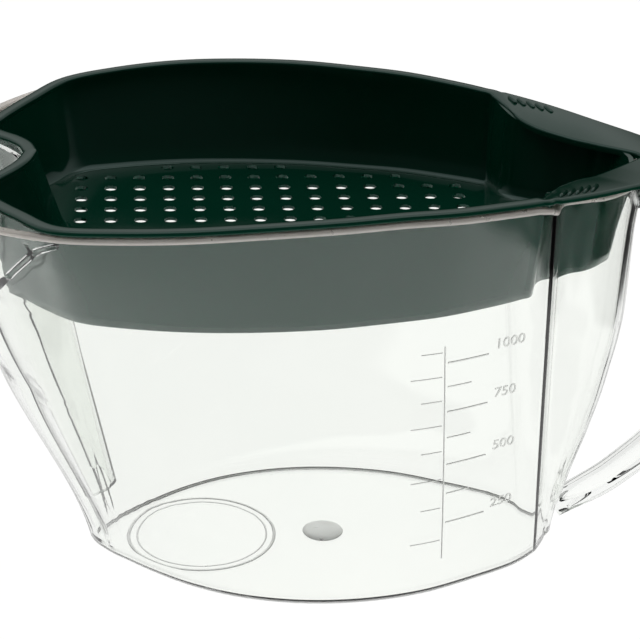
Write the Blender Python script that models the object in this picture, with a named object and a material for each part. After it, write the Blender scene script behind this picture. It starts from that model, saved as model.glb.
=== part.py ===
"""Fat-separator measuring jug with a lift-out strainer insert.

A clear oval jug has a spout channel at -X, divided off by an inner baffle that stops above the floor.
A tapering neck with a loop handle is at +X. A dark strainer with a perforated floor hangs in the
jug from its rim.
Metres, +Z up, spout at -X, handle at +X. The origin is at the centre of the bounding box's bottom.
"""

import math

import bmesh
import bpy
from mathutils import Vector

MM = 0.001
X_SHIFT = -3.5 * MM  # puts the origin under the middle of the whole length, spout tip to handle

# Rim of the jug: its top edge is an arch along the length, highest near the middle
RIM_HEIGHT = 128.4 * MM
RIM_ARCH = 7.4 * MM
RIM_ARCH_X = -9.0 * MM
RIM_ARCH_SPAN = 100.0 * MM

JUG_WALL = 2.0 * MM
JUG_FLOOR = 2.0 * MM
PART_GAP = 0.3 * MM  # between separate solids that meet
FIT_GAP = 0.5 * MM  # between the strainer and the jug, all round
STEPS_BETWEEN_STATIONS = 2
JUG_LEVELS = 9

# Half outline of the jug from the spout's keel to the neck's heel.
# Millimetres: base x, base y, rim x, rim y
STATIONS = (
    (-72.0, 0.0, -126.0, 0.0),
    (-70.8, 3.2, -123.0, 9.0),
    (-69.2, 6.0, -118.0, 20.0),
    (-67.0, 8.8, -110.0, 32.0),
    (-65.0, 11.2, -98.0, 49.5),
    (-61.0, 15.0, -80.0, 63.5),
    (-53.0, 22.5, -64.0, 69.5),
    (-42.0, 31.0, -45.0, 72.5),
    (-28.0, 38.0, -25.0, 71.8),
    (-11.0, 42.0, -5.0, 69.0),
    (7.0, 42.0, 12.0, 64.5),
    (25.0, 38.0, 28.0, 60.0),
    (42.0, 30.0, 43.0, 53.2),
    (55.0, 22.5, 51.0, 48.9),
    (63.0, 14.8, 55.6, 45.4),
    (64.8, 11.4, 61.5, 33.5),
    (66.4, 8.2, 68.0, 28.0),
    (67.6, 5.8, 77.0, 24.0),
    (68.8, 3.8, 84.0, 17.0),
    (69.7, 1.9, 88.0, 9.0),
    (70.0, 0.0, 89.5, 0.0),
)
CREASE_STATIONS = (3, 14)  # where the spout and the neck leave the oval body
LIP_STATION = 5  # the flared pouring lip ends here
NECK_STATION = 14  # the neck begins here

# How far a wall has gone from its base point to its rim point, by share of height
BODY_PROFILE = ((0.0, 0.0), (0.25, 0.31), (0.5, 0.57), (0.75, 0.79), (1.0, 1.0))
LIP_PROFILE = ((0.0, 0.0), (0.5, 0.49), (0.8, 0.77), (0.9, 0.87), (1.0, 1.0))
NECK_PROFILE = (
    (0.0, 0.0),
    (0.12, 0.16),
    (0.34, 0.53),
    (0.5, 0.75),
    (0.62, 0.87),
    (0.85, 0.92),
    (1.0, 1.0),
)
LIP_BLEND = 2.0  # stations over which the lip's profile fades into the body's
NECK_BLEND = 4.0  # the same for the neck's profile

# Baffle between the spout channel and the body
BAFFLE_THICKNESS = 2.0 * MM
BAFFLE_BOTTOM = 20.0 * MM
BAFFLE_BELOW_RIM = 3.0 * MM
BAFFLE_NOSE_X = -62.0 * MM
BAFFLE_NOSE_Z = 12.0 * MM
BAFFLE_NOSE_SLOPE = 0.235
BAFFLE_BULGE_POWER = 1.7
BAFFLE_STATION = 3
BAFFLE_COLUMNS = 10
BAFFLE_ROWS = 6
BAFFLE_END_GAP = 0.6 * MM

# Strainer
STRAINER_WALL = 1.4 * MM
STRAINER_BOTTOM = 94.5 * MM  # bottom edge of the wall, which hangs below the floor as a skirt
STRAINER_DRAFT = 4.0 * MM  # how far the wall has moved in from the jug's wall at its bottom edge
DRAFT_BLEND = 6  # points next to the horn over which the draft sets in
STRAINER_FLOOR_TOP = 100.5 * MM
STRAINER_FLOOR_THICKNESS = 1.6 * MM
STRAINER_FLOOR_GAP = 0.9 * MM  # between the floor's edge and the wall round it, which slopes
STRAINER_WALL_LEVELS = 5
NOTCH_NOSE_X = -85.8 * MM  # at NOTCH_NOSE_Z, on the side that faces the baffle
NOTCH_NOSE_Z = 122.0 * MM
NOTCH_NOSE_SLOPE = 0.34
# Half outline of the notch round the baffle, millimetres from the nose: x, y, ending at the horn's tip
NOTCH = ((0.0, 0.0), (-1.8, 7.0), (-5.2, 13.0), (-9.4, 18.2))
HORN = ((-13.0, 23.0), (-15.2, 27.5))
# Outline from the horn to the oval wall, millimetres at NOTCH_NOSE_Z
HORN_OUTER = ((-100.5, 31.5), (-97.0, 38.0), (-90.0, 49.0))
HORN_STATION = 5

RIM_THICKNESS = 1.4 * MM
RIM_OVERHANG = 0.3 * MM
# Flange over the neck, half outline in millimetres
FLANGE_OUTER = (
    (56.3, 46.2),
    (64.0, 41.4),
    (72.0, 35.6),
    (82.0, 27.5),
    (92.0, 20.0),
    (101.0, 12.5),
    (107.0, 6.5),
    (109.0, 0.0),
)
FLANGE_INNER = (
    (55.0, 36.5),
    (59.0, 27.4),
    (65.0, 20.3),
    (72.0, 15.0),
    (78.0, 10.0),
    (84.0, 5.0),
    (87.5, 1.8),
    (88.5, 0.0),
)

# Perforations
HOLE_PITCH = 8.75 * MM
HOLE_RADIUS = 1.75 * MM
HOLE_SIDES = 6
HOLE_FIRST_X = -73.5 * MM
HOLE_COLUMNS = 18
HOLE_ROWS_EACH_SIDE = 6
HOLE_MARGIN = 4.8 * MM
CUTTER_REACH = 2.0 * MM

# Handle: its centre line in x and z, thickness and width, millimetres
HANDLE_PATH = (
    (91.8, 113.3, 8.5, 17.0),
    (104.0, 112.0, 6.5, 17.0),
    (117.0, 107.8, 6.0, 17.0),
    (126.3, 98.5, 6.0, 16.8),
    (130.0, 85.0, 6.0, 16.4),
    (127.5, 70.0, 5.6, 16.0),
    (120.0, 55.0, 5.4, 15.4),
    (109.5, 40.5, 5.2, 14.8),
    (98.5, 28.5, 5.0, 14.4),
    (87.4, 18.6, 4.8, 14.0),
    (77.3, 12.2, 4.8, 12.4),
)
HANDLE_CHAMFER = 1.5 * MM
HANDLE_SUBDIVISIONS = 3

CLEAR = ("clear_plastic", (0.93, 0.95, 0.93, 0.25), 0.04)
DARK = ("green_plastic", (0.012, 0.035, 0.03, 1.0), 0.18)


def clear_scene():
    for obj in list(bpy.data.objects):
        bpy.data.objects.remove(obj, do_unlink=True)


def make_material(spec):
    name, colour, roughness = spec
    material = bpy.data.materials.new(name)
    material.use_nodes = True
    shader = material.node_tree.nodes["Principled BSDF"]
    shader.inputs["Base Color"].default_value = colour
    shader.inputs["Roughness"].default_value = roughness
    shader.inputs["Metallic"].default_value = 0.0
    shader.inputs["Alpha"].default_value = colour[3]
    return material


def interpolate(table, value):
    """Straight-line interpolation in a table of pairs."""
    for (x0, y0), (x1, y1) in zip(table, table[1:]):
        if value <= x1:
            return y0 + (y1 - y0) * (value - x0) / (x1 - x0)
    return table[-1][1]


def spline(points, steps, corners=()):
    """Points along a curve through the given points, sharp at the corners."""
    result = []
    last = len(points) - 1
    for i in range(last):
        before = points[i] if i == 0 or i in corners else points[i - 1]
        after = points[i + 1] if i + 1 == last or i + 1 in corners else points[i + 2]
        for step in range(steps):
            t = step / steps
            result.append(catmull(before, points[i], points[i + 1], after, t))
    result.append(tuple(points[-1]))
    return result


def catmull(p0, p1, p2, p3, t):
    values = []
    for a, b, c, d in zip(p0, p1, p2, p3):
        slope_b = (c - a) / 2
        slope_c = (d - b) / 2
        cube = 2 * b - 2 * c + slope_b + slope_c
        square = -3 * b + 3 * c - 2 * slope_b - slope_c
        values.append(cube * t**3 + square * t**2 + slope_b * t + b)
    return tuple(values)


def rim_z(x):
    """Height of the jug's top edge."""
    return RIM_HEIGHT - RIM_ARCH * ((x - RIM_ARCH_X) / RIM_ARCH_SPAN) ** 2


def wall_share(station, t):
    """How far the wall at a station has gone from base to rim at a share t of its height."""
    body = interpolate(BODY_PROFILE, t)
    if station < LIP_STATION:
        weight = min(1.0, (LIP_STATION - station) / LIP_BLEND)
        return body + (interpolate(LIP_PROFILE, t) - body) * weight
    if station > NECK_STATION:
        weight = min(1.0, (station - NECK_STATION) / NECK_BLEND)
        return body + (interpolate(NECK_PROFILE, t) - body) * weight
    return body


def fine_stations():
    """The stations with smooth ones between them, each with its place in the table, in metres."""
    numbered = [station_row(i) for i in range(len(STATIONS))]
    return spline(numbered, STEPS_BETWEEN_STATIONS, CREASE_STATIONS)


def station_row(index):
    """A station in metres, with its place in the table."""
    return tuple(v * MM for v in STATIONS[index]) + (float(index),)


def jug_point(row, height):
    """Outer point of the jug at a station, at a height above the ground."""
    base_x, base_y, rim_x, rim_y, station = row
    share = wall_share(station, min(1.0, height / rim_z(rim_x)))
    return Vector((base_x + (rim_x - base_x) * share, base_y + (rim_y - base_y) * share, height))


def jug_half(height_of):
    """Half outline of the jug's outside. height_of gives the height of the point under a rim x."""
    return [jug_point(row, height_of(row[2])) for row in fine_stations()]


def mirrored(half):
    """A closed loop from a half outline that starts and ends on the plane of symmetry."""
    back = [Vector((p.x, -p.y, p.z)) for p in reversed(half[1:-1])]
    return list(half) + back


def inset(loop, distance):
    """The loop moved inwards in plan, with each point's height kept."""
    count = len(loop)
    moved = []
    for i, point in enumerate(loop):
        along = loop[(i + 1) % count] - loop[i - 1]
        inwards = Vector((along.y, -along.x, 0.0)).normalized()
        moved.append(point + inwards * distance)
    return moved


def make_object(name, bm, material):
    bmesh.ops.recalc_face_normals(bm, faces=bm.faces)
    mesh = bpy.data.meshes.new(name)
    bm.to_mesh(mesh)
    bm.free()
    mesh.materials.append(material)
    obj = bpy.data.objects.new(name, mesh)
    obj.location = (X_SHIFT, 0.0, 0.0)
    bpy.context.scene.collection.objects.link(obj)
    return obj


def skin(bm, loops, closed):
    """Faces between neighbouring loops, and round to the first one if closed. Returns the loops' vertices."""
    rings = [[bm.verts.new(p) for p in loop] for loop in loops]
    pairs = list(zip(rings, rings[1:]))
    if closed:
        pairs.append((rings[-1], rings[0]))
    for lower, upper in pairs:
        count = len(lower)
        for i in range(count):
            j = (i + 1) % count
            bm.faces.new((lower[i], lower[j], upper[j], upper[i]))
    return rings


def cap(bm, ring):
    bmesh.ops.triangulate(bm, faces=[bm.faces.new(ring)])


def jug_loop(height_of, distance):
    return inset(mirrored(jug_half(height_of)), distance)


def jug_shell(material):
    bm = bmesh.new()
    loops = []
    for level in range(JUG_LEVELS + 1):
        share = level / JUG_LEVELS
        loops.append(jug_loop(lambda x: share * rim_z(x), 0.0))
    for level in range(JUG_LEVELS, -1, -1):
        share = level / JUG_LEVELS
        loops.append(jug_loop(lambda x: JUG_FLOOR + share * (rim_z(x) - JUG_FLOOR), JUG_WALL))
    rings = skin(bm, loops, closed=False)
    cap(bm, rings[0])
    cap(bm, rings[-1])
    return make_object("jug_shell", bm, material)


def baffle_nose(height):
    return BAFFLE_NOSE_X - BAFFLE_NOSE_SLOPE * (height - BAFFLE_NOSE_Z)


def baffle_section(height):
    """Outline of the baffle at a height: the side that faces the body, then the side that faces the spout."""
    wall = jug_point(station_row(BAFFLE_STATION), height)
    half_width = wall.y - JUG_WALL - BAFFLE_END_GAP
    nose = baffle_nose(height)
    depth = nose - wall.x - JUG_WALL
    front = []
    back = []
    for i in range(BAFFLE_COLUMNS + 1):
        side = (2 * i - BAFFLE_COLUMNS) / BAFFLE_COLUMNS
        x = nose - depth * abs(side) ** BAFFLE_BULGE_POWER
        front.append(Vector((x, side * half_width, height)))
        back.append(Vector((x - BAFFLE_THICKNESS, side * (half_width - BAFFLE_THICKNESS), height)))
    return front + list(reversed(back))


def spout_baffle(material):
    bm = bmesh.new()
    top = rim_z(baffle_nose(RIM_HEIGHT)) - BAFFLE_BELOW_RIM
    loops = []
    for i in range(BAFFLE_ROWS + 1):
        share = i / BAFFLE_ROWS
        loops.append(baffle_section(BAFFLE_BOTTOM + share * (top - BAFFLE_BOTTOM)))
    rings = skin(bm, loops, closed=False)
    cap(bm, rings[0])
    cap(bm, rings[-1])
    return make_object("spout_baffle", bm, material)


def strainer_loop(height_of, distance):
    """Loop round the strainer's outside, moved in by distance. height_of gives the height at an x."""
    height = height_of(STATIONS[HORN_STATION][2] * MM)
    lean = NOTCH_NOSE_SLOPE * (NOTCH_NOSE_Z - height)
    points = [Vector((NOTCH_NOSE_X + lean + x * MM, y * MM, 0.0)) for x, y in NOTCH + HORN]
    draft = (1.0 + height / NOTCH_NOSE_Z) / 2
    points += [Vector((x * MM + lean / 2, y * MM * draft, 0.0)) for x, y in HORN_OUTER]
    for row in fine_stations():
        if row[4] >= HORN_STATION:
            points.append(jug_point(row, height_of(row[2])))
    for point in points:
        point.z = height_of(point.x)
    return inset(mirrored(inset_oval(points, height)), distance)


def inset_oval(points, height):
    """Moves the points past the horn inwards, clear of the jug's wall and further with depth."""
    depth_share = (RIM_HEIGHT - height) / (RIM_HEIGHT - STRAINER_BOTTOM)
    seat = inset(mirrored(points), JUG_WALL + FIT_GAP)
    deep = inset(mirrored(points), JUG_WALL + FIT_GAP + STRAINER_DRAFT * depth_share)
    first = len(NOTCH + HORN)
    moved = list(points[:first])
    for i in range(first, len(points)):
        weight = min(1.0, (i - first + 1) / DRAFT_BLEND)
        moved.append(seat[i].lerp(deep[i], weight))
    return moved


def strainer_level(level, distance):
    """One of the wall's loops, from its bottom edge to the jug's rim."""
    share = level / STRAINER_WALL_LEVELS
    return strainer_loop(lambda x: STRAINER_BOTTOM + share * (rim_z(x) - STRAINER_BOTTOM), distance)


def strainer_wall(material):
    bm = bmesh.new()
    outside = [strainer_level(level, 0.0) for level in range(STRAINER_WALL_LEVELS + 1)]
    inside = [strainer_level(level, STRAINER_WALL) for level in range(STRAINER_WALL_LEVELS, -1, -1)]
    skin(bm, outside + inside, closed=True)
    return make_object("strainer_wall", bm, material)


def strainer_floor(material):
    bottom = STRAINER_FLOOR_TOP - STRAINER_FLOOR_THICKNESS
    inside_wall = STRAINER_WALL + STRAINER_FLOOR_GAP
    loops = [strainer_loop(lambda x: z, inside_wall) for z in (bottom, STRAINER_FLOOR_TOP)]
    bm = bmesh.new()
    rings = skin(bm, loops, closed=False)
    cap(bm, rings[0])
    cap(bm, rings[-1])
    floor = make_object("strainer_floor", bm, material)
    cutter = hole_cutter(loops[0], bottom)
    holes = floor.modifiers.new("perforations", "BOOLEAN")
    holes.operation = "DIFFERENCE"
    holes.solver = "EXACT"
    holes.object = cutter
    return floor


def inside_by(loop, x, y, margin):
    """True if a point is inside a loop in plan, and at least margin from its edges."""
    inside = False
    count = len(loop)
    for i in range(count):
        a = loop[i]
        b = loop[(i + 1) % count]
        if (a.y > y) != (b.y > y) and x < a.x + (b.x - a.x) * (y - a.y) / (b.y - a.y):
            inside = not inside
        edge = Vector((b.x - a.x, b.y - a.y))
        start = Vector((x - a.x, y - a.y))
        t = max(0.0, min(1.0, start.dot(edge) / edge.length_squared))
        if (start - edge * t).length < margin:
            return False
    return inside


def hole_centres(loop):
    centres = []
    for row in range(-HOLE_ROWS_EACH_SIDE, HOLE_ROWS_EACH_SIDE + 1):
        for column in range(HOLE_COLUMNS):
            x = HOLE_FIRST_X + column * HOLE_PITCH
            y = row * HOLE_PITCH
            if inside_by(loop, x, y, HOLE_MARGIN):
                centres.append((x, y))
    return centres


def hole_cutter(loop, bottom):
    """One mesh with a prism for each perforation."""
    bm = bmesh.new()
    low = bottom - CUTTER_REACH
    high = STRAINER_FLOOR_TOP + CUTTER_REACH
    for x, y in hole_centres(loop):
        rings = []
        for z in (low, high):
            ring = []
            for side in range(HOLE_SIDES):
                angle = 2 * math.pi * side / HOLE_SIDES
                ring.append(Vector((x + HOLE_RADIUS * math.cos(angle), y + HOLE_RADIUS * math.sin(angle), z)))
            rings.append(ring)
        verts = skin(bm, rings, closed=False)
        bm.faces.new(verts[0])
        bm.faces.new(verts[1])
    bmesh.ops.recalc_face_normals(bm, faces=bm.faces)
    mesh = bpy.data.meshes.new("perforation_cutter")
    bm.to_mesh(mesh)
    bm.free()
    cutter = bpy.data.objects.new("perforation_cutter", mesh)
    cutter.location = (X_SHIFT, 0.0, 0.0)
    cutter.hide_render = True
    cutter.display_type = "WIRE"
    bpy.context.scene.collection.objects.link(cutter)
    return cutter


def strainer_rim(material):
    """The flat rim, wide over the neck, with the bowl's opening through it."""
    outer_loop = strainer_loop(rim_z, -RIM_OVERHANG - JUG_WALL - FIT_GAP)
    inner_loop = strainer_loop(rim_z, STRAINER_WALL)
    count = len(outer_loop) // 2 + 1
    outer = mirrored(replace_neck(outer_loop[:count], FLANGE_OUTER))
    inner = mirrored(replace_neck(inner_loop[:count], FLANGE_INNER))
    low = PART_GAP
    high = PART_GAP + RIM_THICKNESS
    edges = ((outer, low), (outer, high), (inner, high), (inner, low))
    bm = bmesh.new()
    skin(bm, [above_rim(loop, lift) for loop, lift in edges], closed=True)
    return make_object("strainer_rim", bm, material)


def above_rim(loop, lift):
    """The loop laid at a height above the jug's arched rim."""
    return [Vector((p.x, p.y, rim_z(p.x) + lift)) for p in loop]


def replace_neck(half, outline):
    """The half outline with its neck part replaced, with the same number of points."""
    first = len(NOTCH + HORN + HORN_OUTER) + STEPS_BETWEEN_STATIONS * (NECK_STATION - HORN_STATION)
    wanted = len(half) - first
    smooth = spline([(x * MM, y * MM) for x, y in outline], STEPS_BETWEEN_STATIONS * 2)
    picked = [smooth[round(i * (len(smooth) - 1) / (wanted - 1))] for i in range(wanted)]
    return half[:first] + [Vector((x, y, 0.0)) for x, y in picked]


def handle_section(x, z, thickness, width, tangent):
    """A chamfered bar section across the handle's centre line."""
    across = Vector((-tangent.z, 0.0, tangent.x))
    half_w = width / 2
    half_t = thickness / 2
    corners = []
    for sign_w, sign_t in ((1, 1), (-1, 1), (-1, -1), (1, -1)):
        wide = (sign_w * half_w, sign_t * (half_t - HANDLE_CHAMFER))
        thick = (sign_w * (half_w - HANDLE_CHAMFER), sign_t * half_t)
        corners += [wide, thick] if sign_w * sign_t > 0 else [thick, wide]
    centre = Vector((x, 0.0, z))
    return [centre + Vector((0.0, w, 0.0)) + across * t for w, t in corners]


def jug_handle(material):
    path = spline([tuple(v * MM for v in row) for row in HANDLE_PATH], HANDLE_SUBDIVISIONS)
    loops = []
    for i, (x, z, thickness, width) in enumerate(path):
        before = path[max(i - 1, 0)]
        after = path[min(i + 1, len(path) - 1)]
        tangent = Vector((after[0] - before[0], 0.0, after[1] - before[1])).normalized()
        loops.append(handle_section(x, z, thickness, width, tangent))
    bm = bmesh.new()
    rings = skin(bm, loops, closed=False)
    bm.faces.new(rings[0])
    bm.faces.new(rings[-1])
    return make_object("jug_handle", bm, material)


def main():
    clear_scene()
    clear = make_material(CLEAR)
    dark = make_material(DARK)
    jug_shell(clear)
    spout_baffle(clear)
    jug_handle(clear)
    strainer_wall(dark)
    strainer_floor(dark)
    strainer_rim(dark)


main()
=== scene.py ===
"""Looks for the fat-separator jug: a clear jug, its scale, and the dark green strainer insert."""

import math

import bmesh
import bpy
from mathutils import Matrix, Vector


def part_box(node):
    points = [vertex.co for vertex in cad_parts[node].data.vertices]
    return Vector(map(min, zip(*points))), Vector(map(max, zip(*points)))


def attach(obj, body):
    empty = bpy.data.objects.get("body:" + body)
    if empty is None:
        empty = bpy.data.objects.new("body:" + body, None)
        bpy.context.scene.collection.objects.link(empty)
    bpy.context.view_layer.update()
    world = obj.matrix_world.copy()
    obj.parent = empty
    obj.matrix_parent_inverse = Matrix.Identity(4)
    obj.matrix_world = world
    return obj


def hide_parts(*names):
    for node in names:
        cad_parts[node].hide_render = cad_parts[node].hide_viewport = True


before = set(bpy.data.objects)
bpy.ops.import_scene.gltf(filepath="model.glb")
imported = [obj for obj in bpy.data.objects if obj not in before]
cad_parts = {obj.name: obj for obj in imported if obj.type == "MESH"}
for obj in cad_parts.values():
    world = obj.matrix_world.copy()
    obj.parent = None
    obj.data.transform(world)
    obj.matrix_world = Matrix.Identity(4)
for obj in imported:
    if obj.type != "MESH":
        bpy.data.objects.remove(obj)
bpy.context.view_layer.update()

MM = 0.001
# Where the strainer's flange ends in the outline's own x, millimetres
FLANGE_END = 109.0
# How far the outline below is moved along X to lie where the CAD's does
SHIFT_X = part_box("strainer_rim")[1][0] - FLANGE_END * MM

RIM_HEIGHT = 128.4 * MM
RIM_ARCH = 7.4 * MM
RIM_ARCH_X = -9.0 * MM
RIM_ARCH_SPAN = 100.0 * MM
JUG_WALL = 2.0 * MM
JUG_FLOOR = 1.0 * MM
FIT_GAP = 0.5 * MM
STATION_STEPS = 8

# Half outline of the jug, spout keel to neck heel, millimetres: base x, base y, rim x, rim y
STATIONS = (
    (-72.0, 0.0, -126.0, 0.0),
    (-70.8, 3.2, -123.0, 9.0),
    (-69.2, 6.0, -118.0, 20.0),
    (-67.0, 8.8, -110.0, 32.0),
    (-65.0, 11.2, -98.0, 49.5),
    (-61.0, 15.0, -80.0, 63.5),
    (-53.0, 22.5, -64.0, 69.5),
    (-42.0, 31.0, -45.0, 72.5),
    (-28.0, 38.0, -25.0, 71.8),
    (-11.0, 42.0, -5.0, 69.0),
    (7.0, 42.0, 12.0, 64.5),
    (25.0, 38.0, 28.0, 60.0),
    (42.0, 30.0, 43.0, 53.2),
    (55.0, 22.5, 51.0, 48.9),
    (63.0, 14.8, 55.6, 45.4),
    (64.8, 11.4, 59.5, 34.5),
    (66.4, 8.2, 67.0, 29.5),
    (67.4, 5.9, 76.0, 25.0),
    (68.8, 3.8, 84.0, 17.0),
    (69.7, 1.9, 88.0, 9.0),
    (70.0, 0.0, 89.5, 0.0),
)
# Corners of the outline, and the stations where the lip, the neck and the strainer's horns begin
CREASES = (3, 14)
LIP_STATION = 5
NECK_STATION = 14
HORN_STATION = 5
# The lip's and the neck's own profiles come in over this many stations
LIP_BLEND = 2
NECK_BLEND = 4
# How the wall goes from base to rim: share of the height, share of the way out
BODY_PROFILE = ((0.0, 0.0), (0.25, 0.31), (0.5, 0.57), (0.75, 0.79), (1.0, 1.0))
LIP_PROFILE = ((0.0, 0.0), (0.5, 0.49), (0.8, 0.77), (0.9, 0.87), (1.0, 1.0))
NECK_PROFILE = ((0.0, 0.0), (0.12, 0.16), (0.34, 0.53), (0.5, 0.75), (0.62, 0.87), (0.85, 0.92), (1.0, 1.0))


# ---------------------------------------------------------------- curves and outlines
def catmull(p0, p1, p2, p3, t):
    """The point between p1 and p2 on a smooth curve through all four."""
    values = []
    for a, b, c, d in zip(p0, p1, p2, p3):
        slope_b = (c - a) / 2
        slope_c = (d - b) / 2
        cube = 2 * b - 2 * c + slope_b + slope_c
        square = -3 * b + 3 * c - 2 * slope_b - slope_c
        values.append(cube * t**3 + square * t**2 + slope_b * t + b)
    return tuple(values)


def spline(points, steps, corners=()):
    """A smooth curve through points, sharp at the corners."""
    result = []
    last = len(points) - 1
    for i in range(last):
        before = points[i] if i == 0 or i in corners else points[i - 1]
        after = points[i + 1] if i + 1 == last or i + 1 in corners else points[i + 2]
        for step in range(steps):
            result.append(catmull(before, points[i], points[i + 1], after, step / steps))
    result.append(tuple(points[-1]))
    return result


def table_value(table, value):
    """Smooth interpolation in a table of pairs."""
    for i, (x1, _) in enumerate(table[1:]):
        if value <= x1:
            x0 = table[i][0]
            t = max(0.0, (value - x0) / (x1 - x0))
            y = [table[min(max(k, 0), len(table) - 1)][1] for k in (i - 1, i, i + 1, i + 2)]
            return catmull((y[0],), (y[1],), (y[2],), (y[3],), t)[0]
    return table[-1][1]


def rim_z(x):
    return RIM_HEIGHT - RIM_ARCH * ((x - RIM_ARCH_X) / RIM_ARCH_SPAN) ** 2


def wall_share(station, t):
    """How far out the wall is from the base's outline to the rim's, at a share of the height."""
    body = table_value(BODY_PROFILE, t)
    if station < LIP_STATION:
        weight = min(1.0, (LIP_STATION - station) / LIP_BLEND)
        return body + (table_value(LIP_PROFILE, t) - body) * weight
    if station > NECK_STATION:
        weight = min(1.0, (station - NECK_STATION) / NECK_BLEND)
        return body + (table_value(NECK_PROFILE, t) - body) * weight
    return body


# Longest fold that an inset takes out, in points
FOLD_REACH = 24
PARALLEL_AREA = 1e-16
# The stations in metres, each with its number
NUMBERED = [tuple(v * MM for v in row) + (float(i),) for i, row in enumerate(STATIONS)]
FINE = spline(NUMBERED, STATION_STEPS, CREASES)


def jug_point(row, height):
    """The point on the outside of the jug's wall at a row of the outline and a height."""
    base_x, base_y, rim_x, rim_y, station = row
    share = wall_share(station, min(1.0, height / rim_z(rim_x)))
    return Vector((base_x + (rim_x - base_x) * share, base_y + (rim_y - base_y) * share, height))


def mirrored(half):
    """A closed loop from its half on the +Y side."""
    return list(half) + [Vector((p.x, -p.y, p.z)) for p in reversed(half[1:-1])]


def inset(loop, distance):
    """A mirrored loop moved inwards in plan, with the folds this makes at tight corners taken out."""
    count = len(loop)
    moved = []
    for i, point in enumerate(loop[: count // 2 + 1]):
        along = loop[(i + 1) % count] - loop[i - 1]
        inwards = Vector((along.y, -along.x, 0.0)).normalized()
        moved.append(point + inwards * distance)
    return mirrored(unfold(moved))


def unfold(half):
    """The half outline without the parts that cross the plane of symmetry or itself."""
    points = list(half)
    widest = max(range(len(points)), key=lambda i: points[i].y)
    keel = max([i for i in range(1, widest) if points[i].y <= 0.0], default=0)
    if keel:
        spread(points, 0, keel + 1, at_axis(points[keel], points[keel + 1]), None)
    last = len(points) - 1
    heel = min([i for i in range(widest, last) if points[i].y <= 0.0], default=last)
    if heel < last:
        spread(points, heel - 1, last, None, at_axis(points[heel - 1], points[heel]))
    points[0].y = 0.0
    points[-1].y = 0.0
    i = 0
    while i < len(points) - 3:
        for j in range(min(i + FOLD_REACH, len(points) - 2), i + 1, -1):
            corner = crossing(points[i], points[i + 1], points[j], points[j + 1])
            if corner is not None:
                middle = (i + j + 1) // 2
                points[middle] = corner
                spread(points, i, middle, None, None)
                spread(points, middle, j + 1, None, None)
                i = j
                break
        i += 1
    return points


def at_axis(inner, outer):
    """Where a segment crosses the plane of symmetry."""
    t = inner.y / (inner.y - outer.y)
    return inner.lerp(outer, t)


def spread(points, first, last, start, end):
    """Lays the points from first to last evenly on a straight line."""
    a = points[first] if start is None else start
    b = points[last] if end is None else end
    for i in range(first, last + 1):
        points[i] = a.lerp(b, (i - first) / (last - first))


def crossing(a, b, c, d):
    """Where two segments cross in plan, or None."""
    r = b - a
    s = d - c
    area = r.x * s.y - r.y * s.x
    if abs(area) < PARALLEL_AREA:
        return None
    t = ((c.x - a.x) * s.y - (c.y - a.y) * s.x) / area
    u = ((c.x - a.x) * r.y - (c.y - a.y) * r.x) / area
    if 0.0 < t < 1.0 and 0.0 < u < 1.0:
        return a.lerp(b, t)
    return None


def jug_ring(share, lift, distance, dip=0.0):
    """A ring of the jug at a share of the rim's height plus lift, moved in by distance.

    dip is the share of the neck's dip that it follows.
    """
    half = [jug_point(row, share * rim_z(row[2]) + lift - dip * neck_drop(row[2])) for row in FINE]
    return inset(mirrored(half), distance)


# ---------------------------------------------------------------- mesh making
# Edges sharper than this stay sharp: most pieces, the strainer's rounded ones, and thin or flat ones
SHARP_DEGREES = 38.0
ROUND_DEGREES = 50.0
CRISP_DEGREES = 30.0


def skin(bm, loops, closed=False):
    """Faces between rings of points, and from the last ring to the first if closed."""
    rings = [[bm.verts.new(p) for p in loop] for loop in loops]
    pairs = list(zip(rings, rings[1:]))
    if closed:
        pairs.append((rings[-1], rings[0]))
    for lower, upper in pairs:
        count = len(lower)
        for i in range(count):
            j = (i + 1) % count
            bm.faces.new((lower[i], lower[j], upper[j], upper[i]))
    return rings


def close_ends(bm, rings):
    bm.faces.new(rings[0])
    bm.faces.new(rings[-1])


def finish_mesh(name, bm, sharp_degrees=SHARP_DEGREES):
    """A smooth-shaded object from a mesh, with its normals outwards, at the CAD's place."""
    bmesh.ops.recalc_face_normals(bm, faces=bm.faces)
    if bm.calc_volume(signed=True) < 0.0:
        bmesh.ops.reverse_faces(bm, faces=bm.faces)
    mesh = bpy.data.meshes.new(name)
    bm.to_mesh(mesh)
    bm.free()
    obj = bpy.data.objects.new(name, mesh)
    obj.location.x = SHIFT_X
    bpy.context.scene.collection.objects.link(obj)
    smooth(obj, sharp_degrees)
    return obj


def smooth(obj, sharp_degrees):
    obj.data.shade_smooth()
    obj.data.set_sharp_from_angle(angle=math.radians(sharp_degrees))


def combine(obj, other, operation):
    """Runs a Boolean of obj with other and keeps its result in obj. Removes other."""
    modifier = obj.modifiers.new("combine", "BOOLEAN")
    modifier.operation = operation
    modifier.solver = "EXACT"
    modifier.object = other
    graph = bpy.context.evaluated_depsgraph_get()
    mesh = bpy.data.meshes.new_from_object(obj.evaluated_get(graph))
    obj.modifiers.clear()
    obj.data = mesh
    bpy.data.objects.remove(other, do_unlink=True)


# ---------------------------------------------------------------- the jug
BEAD_FOOT = -1.8 * MM
BEAD_GAP = 0.05 * MM
# The shell's rings under the wall: share of the rim's height, lift, distance in from the wall's outside
BASE_RINGS = ((0.0, 0.1, 4.0), (0.0, 0.1, 0.66), (0.0, 0.85, 0.64), (0.0, 0.87, 0.1), (0.0, 1.0, 0.0))
WALL_LEVELS = 40
# The wall's levels are evenly spaced up to just under this share of the rim's height
WALL_REACH = 0.93
WALL_LIFT = 1.0 * MM
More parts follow.
